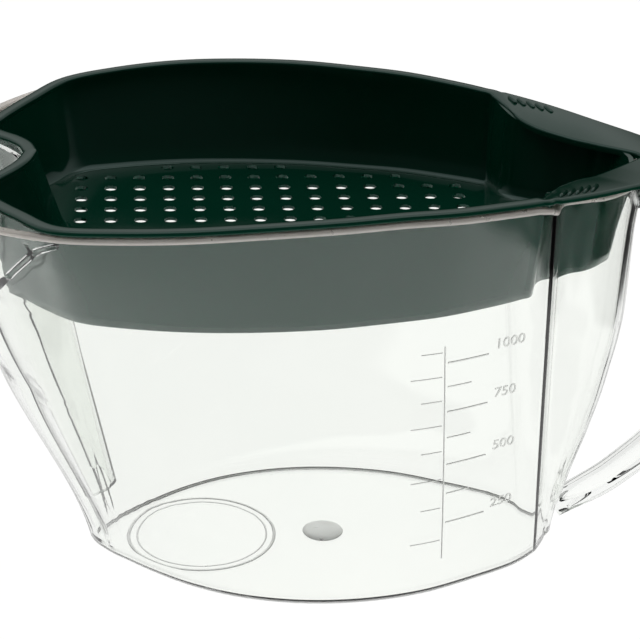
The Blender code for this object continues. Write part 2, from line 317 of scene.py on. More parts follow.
# Lift from the rim and distance in, round the section of the rolled edge
BEAD_RINGS = (
    (-1.8, 0.1),
    (-1.7, -0.3),
    (-1.4, -0.65),
    (-0.95, -0.8),
    (-0.5, -0.7),
    (-0.15, -0.35),
    (0.0, 0.1),
    (0.0, 1.4),
    (-0.2, 1.85),
    (-0.7, 2.0),
    (-1.6, 2.0),
    (-1.8, 1.8),
)
# Lift from the ground and distance in, round the section of the foot
FOOT_RINGS = (
    (0.0, 0.6),
    (0.0, 0.3),
    (0.1, 0.1),
    (0.3, 0.0),
    (0.6, 0.0),
    (0.77, 0.08),
    (0.8, 0.2),
    (0.8, 0.55),
    (0.6, 0.6),
)
# Lift from the inside floor and distance in, down the fillet
FLOOR_RINGS = ((0.4, 2.02), (0.12, 2.14), (0.0, 2.45), (0.0, 4.0))


def jug_shell():
    bm = bmesh.new()
    loops = [jug_ring(share, lift * MM, distance * MM) for share, lift, distance in BASE_RINGS]
    for level in range(1, WALL_LEVELS):
        loops.append(jug_ring(level / WALL_LEVELS * WALL_REACH, WALL_LIFT, 0.0))
    loops.append(jug_ring(1.0, BEAD_FOOT - BEAD_GAP, 0.0, 1.0))
    loops.append(jug_ring(1.0, BEAD_FOOT - BEAD_GAP, JUG_WALL, 1.0))
    for level in range(WALL_LEVELS - 1, 0, -1):
        loops.append(jug_ring(level / WALL_LEVELS * WALL_REACH, JUG_FLOOR + WALL_LIFT, JUG_WALL))
    loops += [jug_ring(0.0, JUG_FLOOR + lift * MM, distance * MM) for lift, distance in FLOOR_RINGS]
    close_ends(bm, skin(bm, loops))
    return finish_mesh("jug_clear", bm)


def jug_bead():
    """The rolled edge round the jug's mouth."""
    bm = bmesh.new()
    skin(bm, [jug_ring(1.0, lift * MM, distance * MM, 1.0) for lift, distance in BEAD_RINGS], closed=True)
    return finish_mesh("jug_bead", bm)


def jug_foot():
    """The frosted edge that the jug stands on."""
    bm = bmesh.new()
    skin(bm, [jug_ring(0.0, lift * MM, distance * MM) for lift, distance in FOOT_RINGS], closed=True)
    return finish_mesh("jug_foot", bm)


BAFFLE_COLUMNS = 36
BAFFLE_ROWS = 40
BAFFLE_BOTTOM = 20.0 * MM
BAFFLE_TOP_X = -88.9 * MM
BAFFLE_TOP_DROP = 3.0 * MM
BAFFLE_THICKNESS = 2.0 * MM
BAFFLE_STATION = 3
# The middle of the baffle: where it is at one height, and how far it leans towards the spout for its rise
BAFFLE_NOSE_X = -62.0 * MM
BAFFLE_NOSE_Z = 12.0 * MM
BAFFLE_LEAN = 0.235
BAFFLE_BEND = 1.7
# How far it reaches into the wall, as shares of the wall's thickness
BAFFLE_REACH_X = 0.6
BAFFLE_REACH_Y = 0.5
# How much narrower its back is on each side, as a share of its own thickness
BAFFLE_TAPER = 0.3


def baffle_section(height):
    wall = jug_point(NUMBERED[BAFFLE_STATION], height)
    half_width = wall.y - JUG_WALL * BAFFLE_REACH_Y
    nose = BAFFLE_NOSE_X - BAFFLE_LEAN * (height - BAFFLE_NOSE_Z)
    depth = nose - wall.x - JUG_WALL * BAFFLE_REACH_X
    back_width = half_width - BAFFLE_THICKNESS * BAFFLE_TAPER
    front = []
    back = []
    for i in range(BAFFLE_COLUMNS + 1):
        side = 2.0 * i / BAFFLE_COLUMNS - 1.0
        x = nose - depth * abs(side) ** BAFFLE_BEND
        front.append(Vector((x, side * half_width, height)))
        back.append(Vector((x - BAFFLE_THICKNESS, side * back_width, height)))
    return front + list(reversed(back))


def baffle():
    bm = bmesh.new()
    top = rim_z(BAFFLE_TOP_X) - BAFFLE_TOP_DROP
    loops = []
    for i in range(BAFFLE_ROWS + 1):
        loops.append(baffle_section(BAFFLE_BOTTOM + i / BAFFLE_ROWS * (top - BAFFLE_BOTTOM)))
    close_ends(bm, skin(bm, loops))
    return finish_mesh("baffle_clear", bm)


# Handle: centre line in x and z, thickness and half width, millimetres
HANDLE_PATH = (
    (87.6, 113.6, 9.5, 8.5),
    (93.0, 113.2, 8.0, 8.5),
    (104.0, 112.0, 6.5, 8.5),
    (117.0, 107.8, 6.0, 8.5),
    (126.3, 98.5, 6.0, 8.4),
    (130.0, 85.0, 6.0, 8.2),
    (127.5, 70.0, 5.6, 8.0),
    (120.0, 55.0, 5.2, 7.7),
    (109.5, 40.5, 4.7, 7.4),
    (98.5, 28.5, 4.2, 7.2),
    (87.4, 18.6, 3.7, 7.0),
    (80.0, 13.7, 3.6, 6.6),
    (75.0, 10.9, 4.2, 5.6),
    (70.6, 8.2, 5.5, 3.8),
)
HANDLE_STEPS = 8
# Half section of the handle's bar: across and outwards, as shares of its half width and half thickness
HANDLE_SECTION = (
    (0.0, 0.62),
    (0.62, 0.64),
    (0.72, 0.78),
    (0.80, 0.97),
    (0.88, 1.0),
    (0.95, 0.88),
    (1.0, 0.5),
    (1.0, -0.5),
    (0.95, -0.85),
    (0.85, -1.0),
    (0.0, -1.0),
)


def handle():
    path = spline([tuple(v * MM for v in row) for row in HANDLE_PATH], HANDLE_STEPS)
    section = list(HANDLE_SECTION) + [(-w, t) for w, t in reversed(HANDLE_SECTION[1:-1])]
    loops = []
    for i, (x, z, thickness, half_width) in enumerate(path):
        before = path[max(i - 1, 0)]
        after = path[min(i + 1, len(path) - 1)]
        tangent = Vector((after[0] - before[0], 0.0, after[1] - before[1])).normalized()
        outwards = Vector((-tangent.z, 0.0, tangent.x))
        centre = Vector((x, 0.0, z))
        loop = []
        for across, out in section:
            loop.append(centre + Vector((0.0, across * half_width, 0.0)) + outwards * out * thickness / 2)
        loops.append(loop)
    bm = bmesh.new()
    close_ends(bm, skin(bm, loops))
    return finish_mesh("handle_clear", bm)


# Raised creases of the clear wall: station, low and high end, radius, and the move in x and y, millimetres
NECK_CREASE = (14.0, 3.0, 121.0, 0.55, -0.4, -1.1)
SPOUT_CREASE = (3.0, 2.0, 116.0, 0.8, 1.1, -1.5)
HEEL_CREASE = (18.4, 8.0, 112.0, 0.8, -0.6, -0.6)
CREASE_STEPS = 24
# The diagonal fold under the flared lip: station and share of the rim's height
LIP_CREASE = (
    (5.1, 0.978),
    (4.75, 0.956),
    (4.5, 0.922),
    (4.25, 0.887),
    (4.0, 0.853),
    (3.5, 0.805),
    (3.0, 0.762),
)
LIP_CREASE_STEPS = 4
LIP_CREASE_INSET = 0.9 * MM
LIP_CREASE_RADIUS = 1.2 * MM
TUBE_SIDES = 12
TUBE_TIP = 0.25
TUBE_STEEP = 0.6
TUBE_UP = (0.3, 0.2, 1.0)
CUTTER_LEVELS = 12
CUTTER_REACH = 1.03
CUTTER_LIFT = 2.0 * MM
CUTTER_CLEARANCE = 0.02 * MM


def tube(points, radius):
    """A round bar along points, tapered at both ends."""
    loops = []
    last = len(points) - 1
    for i, point in enumerate(points):
        along = (points[min(i + 1, last)] - points[max(i - 1, 0)]).normalized()
        reference = Vector(TUBE_UP) if abs(along.z) < TUBE_STEEP else Vector((1.0, 0.0, 0.0))
        across = along.cross(reference).normalized()
        third = along.cross(across)
        size = radius * (TUBE_TIP if i in (0, last) else 1.0)
        loop = []
        for k in range(TUBE_SIDES):
            turn = 2 * math.pi * k / TUBE_SIDES
            loop.append(point + (across * math.cos(turn) + third * math.sin(turn)) * size)
        loops.append(loop)
    bm = bmesh.new()
    close_ends(bm, skin(bm, loops))
    return finish_mesh("crease", bm)


def station_at(station):
    """A row between two stations."""
    i = min(int(station), len(NUMBERED) - 2)
    return tuple(a + (b - a) * (station - i) for a, b in zip(NUMBERED[i], NUMBERED[i + 1]))


def crease(row, side):
    """A bar up the wall at a station, moved in from the outside."""
    station = row[0]
    low, high, radius, move_x, move_y = (value * MM for value in row[1:])
    points = []
    for i in range(CREASE_STEPS + 1):
        height = low + (high - low) * i / CREASE_STEPS
        point = jug_point(station_at(station), height)
        points.append(Vector((point.x + move_x, side * (point.y + move_y), height)))
    return tube(points, radius)


def lip_crease(side):
    """A bar down the diagonal fold under the flared lip."""
    points = []
    for station, share in spline(LIP_CREASE, LIP_CREASE_STEPS):
        row = station_at(station)
        height = share * rim_z(row[2])
        point = jug_point(row, height)
        points.append(Vector((point.x + LIP_CREASE_INSET, side * (point.y - LIP_CREASE_INSET), height)))
    return tube(points, LIP_CREASE_RADIUS)


def cavity_cutter():
    """The inside of the jug, to trim off what a joined piece leaves there."""
    loops = []
    for level in range(CUTTER_LEVELS + 1):
        share = level / CUTTER_LEVELS * CUTTER_REACH
        loops.append(jug_ring(share, JUG_FLOOR + CUTTER_LIFT, JUG_WALL + CUTTER_CLEARANCE))
    bm = bmesh.new()
    close_ends(bm, skin(bm, loops))
    return finish_mesh("cavity", bm)


def clear_jug():
    """The shell, the handle, the baffle and the creases, joined into one clear moulding."""
    grip = handle()
    combine(grip, cavity_cutter(), "DIFFERENCE")
    jug = jug_shell()
    combine(jug, grip, "UNION")
    combine(jug, baffle(), "UNION")
    combine(jug, crease(NECK_CREASE, -1), "UNION")
    for side in (1, -1):
        combine(jug, crease(SPOUT_CREASE, side), "UNION")
        combine(jug, crease(HEEL_CREASE, side), "UNION")
        combine(jug, lip_crease(side), "UNION")
    smooth(jug, SHARP_DEGREES)
    return jug


# ---------------------------------------------------------------- the strainer
STRAINER_WALL = 1.4 * MM
FLOOR_TOP = 100.5 * MM
STRAINER_BOTTOM = 94.5 * MM
STRAINER_DRAFT = 4.0 * MM
# The draft comes in over this many points after the horns
DRAFT_POINTS = 6
PLATE_THICKNESS = 0.9 * MM
PLATE_INSET = 1.0 * MM
# The notch that leaves the spout free: its nose, and how far the nose leans for its rise
NOTCH_NOSE_X = -85.8 * MM
NOTCH_NOSE_Z = 122.0 * MM
NOTCH_NOSE_SLOPE = 0.34
# Half outline from the nose, round the horn and out to the wall, millimetres: the first two from the nose
NOTCH = ((0.0, 0.0), (-1.8, 7.0), (-5.2, 13.0), (-9.4, 18.2))
HORN = ((-13.0, 23.0), (-15.2, 27.5))
HORN_OUTER = ((-100.5, 31.5), (-97.0, 38.0), (-90.0, 49.0))
# Edges of the wide flange over the neck, from the shoulder to the tip, millimetres
FLANGE_OUTER = (
    (56.3, 46.2),
    (64.0, 41.4),
    (72.0, 35.6),
    (82.0, 27.5),
    (92.0, 20.0),
    (101.0, 12.5),
    (107.0, 6.5),
    (109.0, 0.0),
)
FLANGE_INNER = (
    (55.0, 36.5),
    (59.0, 27.4),
    (65.0, 20.3),
    (72.0, 15.0),
    (78.0, 10.0),
    (84.0, 5.0),
    (87.5, 1.8),
    (88.5, 0.0),
)
FLANGE_STEPS = 40
RIM_LIFT = 0.3 * MM
RIM_THICKNESS = 1.4 * MM
RIM_OVERHANG = 0.3 * MM
# Lift above the seat and distance in from the outer or the inner edge, round the rim's section
RIM_OUTER_RINGS = ((0.0, 0.3), (0.15, 0.05), (0.4, 0.0), (0.85, 0.08), (1.15, 0.3), (1.35, 0.7), (1.4, 1.2))
RIM_INNER_RINGS = ((1.4, -1.2), (1.3, -0.6), (1.05, -0.2), (0.6, 0.0), (-0.6, 0.0))
# How far the flange's inner edge dips below its outer edge, by x, millimetres
NECK_DROP = (
    (50.0, 0.0),
    (54.0, 0.8),
    (58.0, 2.6),
    (62.0, 3.0),
    (72.0, 2.8),
    (80.0, 1.6),
    (87.0, 0.3),
    (89.0, 0.0),
)
BOWL_LEVELS = 10
BOWL_WALL_FOOT = 0.3 * MM
BOWL_WALL_RISE = 1.0 * MM
BOWL_FILLET_TOP = 2.2 * MM
# Lift from the strainer's bottom and distance in, round the skirt's edge
SKIRT_OUTER_RINGS = ((0.0, 0.4), (0.25, 0.08))
SKIRT_INNER_RINGS = ((0.25, 1.35), (0.0, 1.0))
# Lift from the floor's top and distance in, down the fillet, round its edge and back under it
BOWL_FLOOR_RINGS = ((1.3, 1.65), (0.6, 2.1), (0.15, 2.8), (-0.2, 3.8), (-1.4, 3.8), (-1.7, 1.6))


def strainer_controls(height):
    """Half outline of the strainer's outside at a height, nose to heel: the jug's wall, less gap and draft."""
    lean = NOTCH_NOSE_SLOPE * (NOTCH_NOSE_Z - height)
    draft = (1.0 + height / NOTCH_NOSE_Z) / 2
    nose = NOTCH_NOSE_X + lean
    near = [(nose + x * MM, y * MM) for x, y in NOTCH + HORN]
    outer = [(x * MM + lean / 2, y * MM * draft) for x, y in HORN_OUTER]
    wall = []
    for row in NUMBERED[HORN_STATION:]:
        point = jug_point(row, height)
        wall.append((point.x, point.y))
    loop = [Vector((x, y, 0.0)) for x, y in near + outer + wall]
    draft_share = min(1.0, max(0.0, (RIM_HEIGHT - height) / (RIM_HEIGHT - STRAINER_BOTTOM)))
    seat = inset(mirrored(loop), JUG_WALL + FIT_GAP)
    deep = inset(mirrored(loop), JUG_WALL + FIT_GAP + STRAINER_DRAFT * draft_share)
    moved = []
    for i in range(len(near), len(loop)):
        weight = min(1.0, (i - len(near) + 1) / DRAFT_POINTS)
        point = seat[i].lerp(deep[i], weight)
        moved.append((point.x, point.y))
    return near + moved


def strainer_ring(height_of, distance):
    """A ring of the strainer. height_of gives the height at an x."""
    controls = []
    for i, (x, _) in enumerate(strainer_controls(RIM_HEIGHT)):
        controls.append(strainer_controls(height_of(x))[i])
    half = [Vector((x, y, height_of(x))) for x, y in spline(controls, STATION_STEPS)]
    half[0].y = 0.0
    half[-1].y = 0.0
    return inset(mirrored(half), distance)


def level_rings(level, table):
    """Level rings of the strainer from a table of lift and distance in millimetres."""
    return [strainer_ring(lambda x: level + lift * MM, distance * MM) for lift, distance in table]


def wall_rings(low, shares, distance):
    """Rings from a level to the rim, which dips over the neck."""
    rings = []
    for share in shares:
        rings.append(strainer_ring(lambda x: low + share * (bowl_top(x) - low), distance))
    return rings


def bowl_top(x):
    return rim_z(x) + BOWL_WALL_RISE - neck_drop(x)


def strainer_bowl():
    """The wall, with a fillet down to the floor and a skirt below it."""
    shares = [level / BOWL_LEVELS for level in range(1, BOWL_LEVELS + 1)]
    loops = level_rings(STRAINER_BOTTOM, SKIRT_OUTER_RINGS)
    loops += wall_rings(STRAINER_BOTTOM + BOWL_WALL_FOOT, shares, 0.0)
    loops += wall_rings(FLOOR_TOP + BOWL_FILLET_TOP, reversed(shares), STRAINER_WALL)
    loops += level_rings(FLOOR_TOP, BOWL_FLOOR_RINGS)
    loops += level_rings(STRAINER_BOTTOM, SKIRT_INNER_RINGS)
    bm = bmesh.new()
    skin(bm, loops, closed=True)
    return finish_mesh("strainer_bowl", bm, ROUND_DEGREES)


HOLE_PITCH = 8.75 * MM
HOLE_RADIUS = 1.95 * MM
HOLE_SIDES = 20
HOLE_FIRST_X = -73.5 * MM
HOLE_COLUMNS = 18
HOLE_ROWS = 6
HOLE_MARGIN = 6.5 * MM
HOLE_CUT_BELOW = 4.0 * MM
HOLE_CUT_ABOVE = 2.0 * MM


def clear_of_edge(loop, x, y, margin):
    """Whether a point is inside a loop, and no corner of the loop is nearer than the margin."""
    inside = False
    count = len(loop)
    for i in range(count):
        a = loop[i]
        b = loop[(i + 1) % count]
        if (a.y > y) != (b.y > y) and x < a.x + (b.x - a.x) * (y - a.y) / (b.y - a.y):
            inside = not inside
        if math.hypot(a.x - x, a.y - y) < margin:
            return False
    return inside


def strainer_sieve():
    """The perforated floor plate."""
    outline = strainer_ring(lambda x: FLOOR_TOP, 0.0)
    plate = strainer_ring(lambda x: FLOOR_TOP, PLATE_INSET)
    loops = [[Vector((p.x, p.y, z)) for p in plate] for z in (FLOOR_TOP - PLATE_THICKNESS, FLOOR_TOP)]
    bm = bmesh.new()
    close_ends(bm, skin(bm, loops))
    sieve = finish_mesh("strainer_sieve", bm, CRISP_DEGREES)
    bm = bmesh.new()
    for row in range(-HOLE_ROWS, HOLE_ROWS + 1):
        for column in range(HOLE_COLUMNS):
            x = HOLE_FIRST_X + column * HOLE_PITCH
            y = row * HOLE_PITCH
            if clear_of_edge(outline, x, y, HOLE_MARGIN):
                add_prism(bm, x, y, FLOOR_TOP - HOLE_CUT_BELOW, FLOOR_TOP + HOLE_CUT_ABOVE)
    combine(sieve, finish_mesh("hole_cutter", bm), "DIFFERENCE")
    smooth(sieve, CRISP_DEGREES)
    return sieve


def add_prism(bm, x, y, low, high):
    loops = []
    for z in (low, high):
        loop = []
        for side in range(HOLE_SIDES):
            angle = 2 * math.pi * side / HOLE_SIDES
            loop.append(Vector((x + HOLE_RADIUS * math.cos(angle), y + HOLE_RADIUS * math.sin(angle), z)))
        loops.append(loop)
    close_ends(bm, skin(bm, loops))


def replace_neck(half, outline):
    """A half ring with its part over the neck laid along another outline instead."""
    first = STATION_STEPS * (len(NOTCH + HORN + HORN_OUTER) + NECK_STATION - HORN_STATION)
    wanted = len(half) - first
    dense = spline([(x * MM, y * MM) for x, y in outline], FLANGE_STEPS)
    picked = [dense[round(i * (len(dense) - 1) / (wanted - 1))] for i in range(wanted)]
    return half[:first] + [Vector((x, y, 0.0)) for x, y in picked]


def by_x(table, x):
    """Straight-line reading of a table of millimetre pairs, held at its ends."""
    if x <= table[0][0] * MM:
        return table[0][1] * MM
    for (x0, y0), (x1, y1) in zip(table, table[1:]):
        if x <= x1 * MM:
            return (y0 + (y1 - y0) * (x / MM - x0) / (x1 - x0)) * MM
    return table[-1][1] * MM


def neck_drop(x):
    """How far the inner edge of the wide flange dips below its outer edge."""
    return by_x(NECK_DROP, x)


def raised(loop, lift, dip):
    """A loop lifted to a height above the strainer's seat. dip follows the neck's dip."""
    return [Vector((p.x, p.y, rim_z(p.x) + RIM_LIFT + lift - dip * neck_drop(p.x))) for p in loop]


GRIP_RIBS = 5
GRIP_FIRST = (56.6 * MM, 43.2 * MM)
GRIP_STEP = (2.5 * MM, -1.6 * MM)
GRIP_DIRECTION = (0.38, -0.92)
GRIP_HALF_LENGTH = 4.6 * MM
# One rib: points to each end, sides, half width, height and sink in millimetres, and its tip as a share
RIB_HALF_STEPS = 6
RIB_SIDES = 10
RIB_HALF_WIDTH = 0.75
RIB_HEIGHT = 1.15
RIB_SINK = 0.1
RIB_TIP = 0.1
RIB_ROUNDNESS = 4
RIB_FAR_SIZE = 0.55


def flange_top(x, y):
    """Height of the flange's top surface."""
    outer = by_x(FLANGE_OUTER, x)
    inner = by_x(FLANGE_INNER, x)
    share = min(1.0, max(0.0, (outer - y) / (outer - inner)))
    return rim_z(x) + RIM_LIFT + RIM_THICKNESS - neck_drop(x) * share


def add_rib(bm, i, side, size):
    """One small rounded rib across the flange."""
    along = Vector((GRIP_DIRECTION[0], GRIP_DIRECTION[1], 0.0)).normalized()
    outer_end = Vector((GRIP_FIRST[0] + GRIP_STEP[0] * i, GRIP_FIRST[1] + GRIP_STEP[1] * i, 0.0))
    centre = outer_end + along * GRIP_HALF_LENGTH * size
    across = Vector((-along.y, along.x, 0.0))
    loops = []
    for step in range(2 * RIB_HALF_STEPS + 1):
        share = step / RIB_HALF_STEPS - 1.0
        taper = math.sqrt(max(0.0, 1.0 - abs(share) ** RIB_ROUNDNESS)) * (1.0 - RIB_TIP) + RIB_TIP
        point = centre + along * share * GRIP_HALF_LENGTH * size
        base = flange_top(point.x, point.y)
        loop = []
        for corner in range(RIB_SIDES):
            turn = 2 * math.pi * corner / RIB_SIDES
            p = point + across * math.cos(turn) * RIB_HALF_WIDTH * MM * taper
            rise = math.sin(turn) * RIB_HEIGHT * MM * taper * size
            loop.append(Vector((p.x, side * p.y, base + rise - RIB_SINK * MM)))
        loops.append(loop)
    close_ends(bm, skin(bm, loops))


def strainer_lip():
    """The rim: a rounded band, wide and dished over the neck, with its grip ribs."""
    outer_ring = strainer_ring(rim_z, -RIM_OVERHANG - JUG_WALL - FIT_GAP)
    inner_ring = strainer_ring(rim_z, STRAINER_WALL)
    count = len(outer_ring) // 2 + 1
    outer = mirrored(replace_neck(outer_ring[:count], FLANGE_OUTER))
    inner = mirrored(replace_neck(inner_ring[:count], FLANGE_INNER))
    loops = [raised(inset(outer, distance * MM), lift * MM, 0.0) for lift, distance in RIM_OUTER_RINGS]
    loops += [raised(inset(inner, distance * MM), lift * MM, 1.0) for lift, distance in RIM_INNER_RINGS]
    bm = bmesh.new()
    skin(bm, loops, closed=True)
    for side, size in ((1, RIB_FAR_SIZE), (-1, 1.0)):
        for i in range(GRIP_RIBS):
            add_rib(bm, i, side, size)
    return finish_mesh("strainer_lip", bm, ROUND_DEGREES)


# ---------------------------------------------------------------- marks on the jug
# The scale on the near wall: heights, x and sizes in millimetres
SCALE_TOP = 88.0
SCALE_BOTTOM = 12.0
SCALE_X_TOP = 25.6
SCALE_X_BOTTOM = 30.4
SCALE_STEPS = 24
SCALE_HALF_WIDTH = 0.22
LONG_TICKS = (82.5, 66.0, 47.5, 26.0)
SHORT_TICKS = (74.5, 57.0, 37.0)
LEFT_TICKS = (86.0, 78.0, 70.0, 61.5, 52.5, 42.5, 32.0, 19.5)
# Length, steps and half width of the right ticks, then the same of the left ones, and the gap beside the line
LONG_TICK = (12.0, 8, 0.3)
SHORT_TICK = (7.0, 6, 0.24)
LEFT_TICK_LENGTHS = (6.0, 9.0)
LEFT_TICK_STEPS = 6
LEFT_TICK_HALF_WIDTH = 0.18
TICK_GAP = 0.8
# Section of a raised line: across as a share of its half width, and out of the wall in millimetres
RIBBON_SECTION = ((-1.0, -0.05), (-0.6, 0.16), (0.6, 0.16), (1.0, -0.05))
NUMBERS = ("1000", "750", "500", "250")
NUMBER_SIZE = 4.6 * MM
NUMBER_DEPTH = 0.1 * MM
NUMBER_RESOLUTION = 3
NUMBER_LEFT = 14.6
NUMBER_RISE = 1.2
NUMBER_OUT = 0.06 * MM
NUMBER_MERGE = 0.005 * MM
RING_CENTRE = (-38.0 * MM, 0.0)
# Radius and thickness of each moulded ring
RINGS = ((22.0 * MM, 0.45 * MM), (19.6 * MM, 0.25 * MM))
RING_COUNT = 72
RING_SIDES = 8
RING_FLATNESS = 0.5
GATE_CENTRE = (-1.0 * MM, 0.0)
GATE_RADIUS = 6.2 * MM
GATE_HEIGHT = 0.9 * MM
GATE_SINK = 0.1 * MM
GATE_LEVELS = 8
GATE_SIDES = 32


def wall_point(x, z, out):
    """A point on the outside of the jug's near wall at an x and a height, moved out by out."""
    previous = None
    for row in FINE:
        if row[4] < LIP_STATION or row[4] > NECK_STATION:
            continue
        point = jug_point(row, z)
        if previous is not None and point.x >= x:
            t = (x - previous.x) / (point.x - previous.x)
            y = previous.y + (point.y - previous.y) * t
            along = point - previous
            normal = Vector((along.y, along.x, 0.0)).normalized()
            outwards = Vector((-normal.x, -abs(normal.y), 0.0))
            return Vector((x, -y, z)) + outwards * out
        previous = point
    raise ValueError("no wall at this x")


def scale_x(z):
    share = (z - SCALE_BOTTOM) / (SCALE_TOP - SCALE_BOTTOM)
    return SCALE_X_BOTTOM + (SCALE_X_TOP - SCALE_X_BOTTOM) * share


def ribbon(bm, points, half_width, vertical):
    """A thin raised line along points given as x and z in millimetres on the wall."""
    loops = []
    for x, z in points:
        loop = []
        for share, out in RIBBON_SECTION:
            across = half_width * share
            dx, dz = (across, 0.0) if vertical else (0.0, across)
            loop.append(wall_point((x + dx) * MM, (z + dz) * MM, out * MM))
        loops.append(loop)
    close_ends(bm, skin(bm, loops))


def tick(bm, start, z, length, steps, half_width):
    ribbon(bm, [(start + length * i / steps, z) for i in range(steps + 1)], half_width, False)


def scale_marks():
    bm = bmesh.new()
    rise = SCALE_TOP - SCALE_BOTTOM
    heights = [SCALE_BOTTOM + rise * i / SCALE_STEPS for i in range(SCALE_STEPS + 1)]
    ribbon(bm, [(scale_x(z), z) for z in heights], SCALE_HALF_WIDTH, True)
    for z in LONG_TICKS:
        tick(bm, scale_x(z) + TICK_GAP, z, *LONG_TICK)
    for z in SHORT_TICKS:
        tick(bm, scale_x(z) + TICK_GAP, z, *SHORT_TICK)
    for i, z in enumerate(LEFT_TICKS):
        length = LEFT_TICK_LENGTHS[i % 2]
        tick(bm, scale_x(z) - TICK_GAP - length, z, length, LEFT_TICK_STEPS, LEFT_TICK_HALF_WIDTH)
    return finish_mesh("scale_marks", bm, CRISP_DEGREES)


def scale_numbers():
    """Plain numbers beside the long marks, laid on the wall."""
    bm = bmesh.new()
    for number, z in zip(NUMBERS, LONG_TICKS):
        curve = bpy.data.curves.new("number", "FONT")
        curve.body = number
        curve.size = NUMBER_SIZE
        curve.extrude = NUMBER_DEPTH
        curve.resolution_u = NUMBER_RESOLUTION
        text = bpy.data.objects.new("number", curve)
        bpy.context.scene.collection.objects.link(text)
        graph = bpy.context.evaluated_depsgraph_get()
        mesh = bpy.data.meshes.new_from_object(text.evaluated_get(graph))
        left = scale_x(z) + NUMBER_LEFT
        for vertex in mesh.vertices:
            x, y, out = vertex.co
            vertex.co = wall_point(left * MM + x, (z + NUMBER_RISE) * MM + y, out + NUMBER_OUT)
        bm.from_mesh(mesh)
        bpy.data.objects.remove(text, do_unlink=True)
        bpy.data.meshes.remove(mesh)
    bmesh.ops.remove_doubles(bm, verts=bm.verts, dist=NUMBER_MERGE)
    return finish_mesh("scale_numbers", bm, CRISP_DEGREES)


def base_marks():
    """Two shallow moulded rings and the gate mark on the jug's floor."""
    bm = bmesh.new()
    for radius, thickness in RINGS:
        add_ring(bm, RING_CENTRE, radius, thickness)
    add_dome(bm, GATE_CENTRE, GATE_RADIUS, GATE_HEIGHT)
    return finish_mesh("base_marks", bm, CRISP_DEGREES)


def add_ring(bm, centre, radius, thickness):
    loops = []
    for i in range(RING_COUNT):
        angle = 2 * math.pi * i / RING_COUNT
        loop = []
        for k in range(RING_SIDES):
            turn = 2 * math.pi * k / RING_SIDES
            reach = radius + thickness * math.cos(turn)
            z = JUG_FLOOR + thickness * RING_FLATNESS * math.sin(turn)
            loop.append(around(centre, reach, angle, z))
        loops.append(loop)
    skin(bm, loops, closed=True)


def around(centre, reach, angle, z):
    """The point at an angle and a reach round a centre."""
    return Vector((centre[0] + reach * math.cos(angle), centre[1] + reach * math.sin(angle), z))


def add_dome(bm, centre, radius, height):
    loops = []
    for i in range(1, GATE_LEVELS + 1):
        turn = math.pi / 2 * i / GATE_LEVELS
        reach = radius * math.sin(turn)
        z = JUG_FLOOR + height * math.cos(turn)
        loops.append([around(centre, reach, 2 * math.pi * k / GATE_SIDES, z) for k in range(GATE_SIDES)])
    loops.append([Vector((p.x, p.y, JUG_FLOOR - GATE_SINK)) for p in loops[-1]])
    close_ends(bm, skin(bm, loops))


# ---------------------------------------------------------------- materials
CLEAR_IOR = 1.46
CLEAR_DARK = (0.95, 0.965, 0.945, 1.0)
CLEAR_LIGHT = (0.975, 0.985, 0.965, 1.0)
CLEAR_CLOUDS = 9.0
# Painted shade: the dark grey that the clear plastic's colour turns to at its edges
CLEAR_PAINTED_EDGE_SHADE = (0.30, 0.31, 0.30, 1.0)
# The share of facing away at which the painted edge shade begins
CLEAR_EDGE_SHADE_START = 0.72
CLEAR_SHADOW = (0.93, 0.94, 0.93, 1.0)
# Roughness: a noise's scale and detail, and its range. Bump: the same two, its distance and its strength
CLEAR_ROUGHNESS = (60.0, 2.0, 0.0, 0.012)
CLEAR_BUMP = (22.0, 1.0, 0.0002, 0.08)
FROSTED_IOR = 1.5
FROSTED_GRAIN = 200.0
FROSTED_ROUGHNESS = (300.0, 3.0, 0.25, 0.45)
GREEN_IOR = 1.45
GREEN_DARK = (0.0010, 0.038, 0.020, 1.0)
GREEN_LIGHT = (0.0014, 0.044, 0.025, 1.0)
GREEN_CLOUDS = 14.0
GREEN_SPECULAR = (0.76, 1.0, 0.97, 1.0)
GREEN_ROUGHNESS = (45.0, 2.0, 0.06, 0.14)
GREEN_BUMP = (260.0, 2.0, 0.00004, 0.06)
COLOUR_DETAIL = 3.0
NOISE_LOW = 0.3
NOISE_HIGH = 0.7
FLOOR_DARK = (0.055, 0.055, 0.0545, 1.0)
FLOOR_LIGHT = (0.065, 0.065, 0.0645, 1.0)
FLOOR_CLOUDS = 1.5
FLOOR_ROUGHNESS = 0.8
FLOOR_TINT = (1.0, 1.0, 0.995, 1.0)
FLOOR_GLOW = 1.0
FLOOR_MIRRORED = 0.93
# Where the floor's glow fades in reflections: from and to in metres, and its share at each
FLOOR_FRONT = (-0.60, -0.40, 0.0, FLOOR_MIRRORED)
FLOOR_RIGHT = (0.195, 0.225, 1.0, 0.0)
FLOOR_LEFT = (-0.60, -0.35, 0.1, 1.0)


def new_material(name):
    material = bpy.data.materials.new(name)
    material.use_nodes = True
    nodes = material.node_tree.nodes
    return material, nodes, material.node_tree.links, nodes["Principled BSDF"]


def noise_ramp(nodes, links, scale, detail, low, high):
    """A noise in object space, and its mapping to a range."""
    coords = nodes.new("ShaderNodeTexCoord")
    noise = nodes.new("ShaderNodeTexNoise")
    noise.inputs["Scale"].default_value = scale
    noise.inputs["Detail"].default_value = detail
    links.new(coords.outputs["Object"], noise.inputs["Vector"])
    span = nodes.new("ShaderNodeMapRange")
    span.inputs["From Min"].default_value = NOISE_LOW
    span.inputs["From Max"].default_value = NOISE_HIGH
    span.inputs["To Min"].default_value = low
    span.inputs["To Max"].default_value = high
    links.new(noise.outputs["Fac"], span.inputs["Value"])
    return noise, span


def vary_roughness(nodes, links, shader, noise_and_range):
    _, rough = noise_ramp(nodes, links, *noise_and_range)
    links.new(rough.outputs["Result"], shader.inputs["Roughness"])


